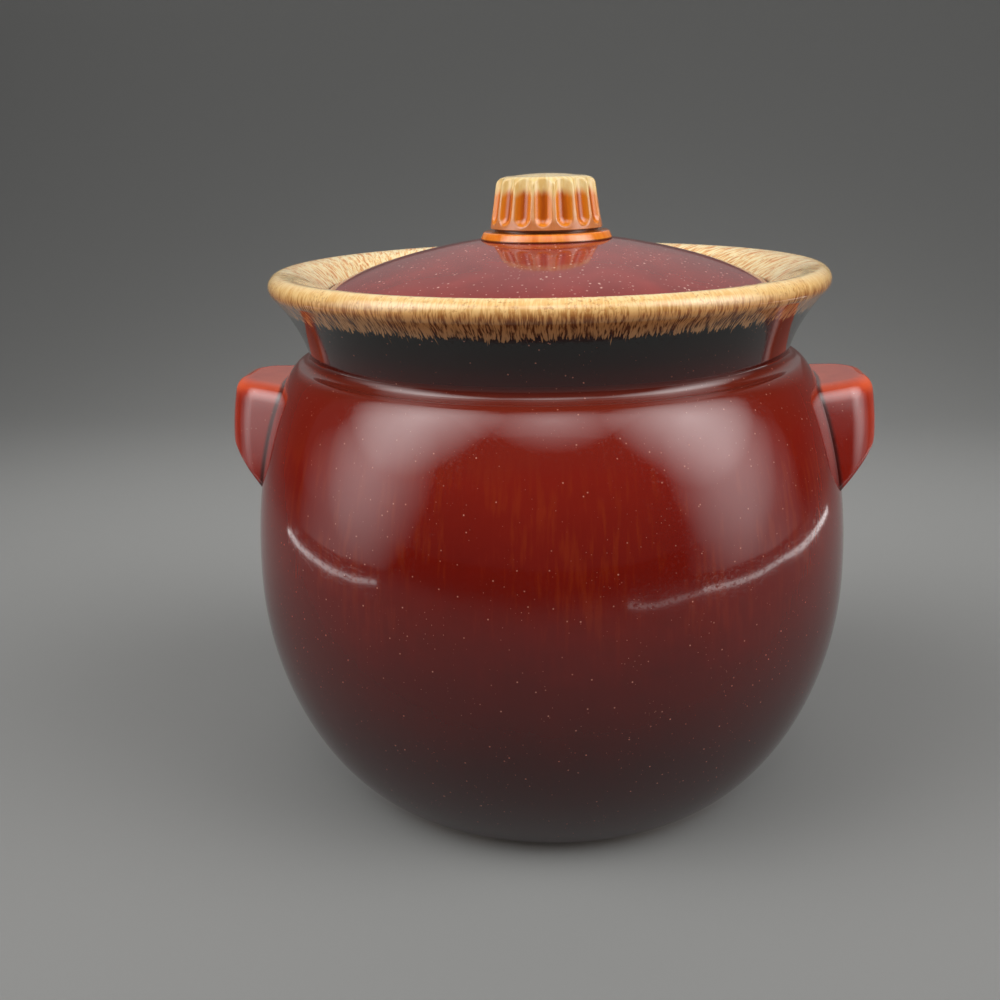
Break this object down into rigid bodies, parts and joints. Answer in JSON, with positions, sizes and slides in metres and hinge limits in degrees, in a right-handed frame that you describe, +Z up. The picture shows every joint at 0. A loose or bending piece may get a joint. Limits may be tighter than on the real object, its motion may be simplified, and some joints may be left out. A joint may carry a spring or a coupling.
{
  "type": "bean pot",
  "caption": "Squat round-bellied glazed stoneware bean pot with lug handles, a flared rolled rim and a loose domed lid with a fluted knob.",
  "frame": {"origin": "centre of the foot ring, on the surface the pot stands on", "axes": "+Z up along the axis of the pot and the way the lid lifts, +X through the right lug, -Y towards the front"},
  "size_m": [0.1802, 0.1688, 0.1718],
  "materials": {
    "pot_glaze": "gloss red-brown glaze with a tan rim and a bare foot",
    "lug_glaze": "gloss red-brown glaze, thin and orange at the edges",
    "lid_glaze": "gloss dark red-brown glaze",
    "knob_glaze": "gloss amber glaze with a tan top"
  },
  "bodies": {
    "pot": {"pot_body": "pot_glaze", "lug_left": "lug_glaze", "lug_right": "lug_glaze"},
    "cover": {"lid": "lid_glaze", "lid_knob": "knob_glaze"}
  },
  "joints": [
    {"name": "lid_lift", "type": "slide", "parent": "pot", "child": "cover", "axis": [0, 0, 1], "range_m": [0, 0.08]}
  ]
}
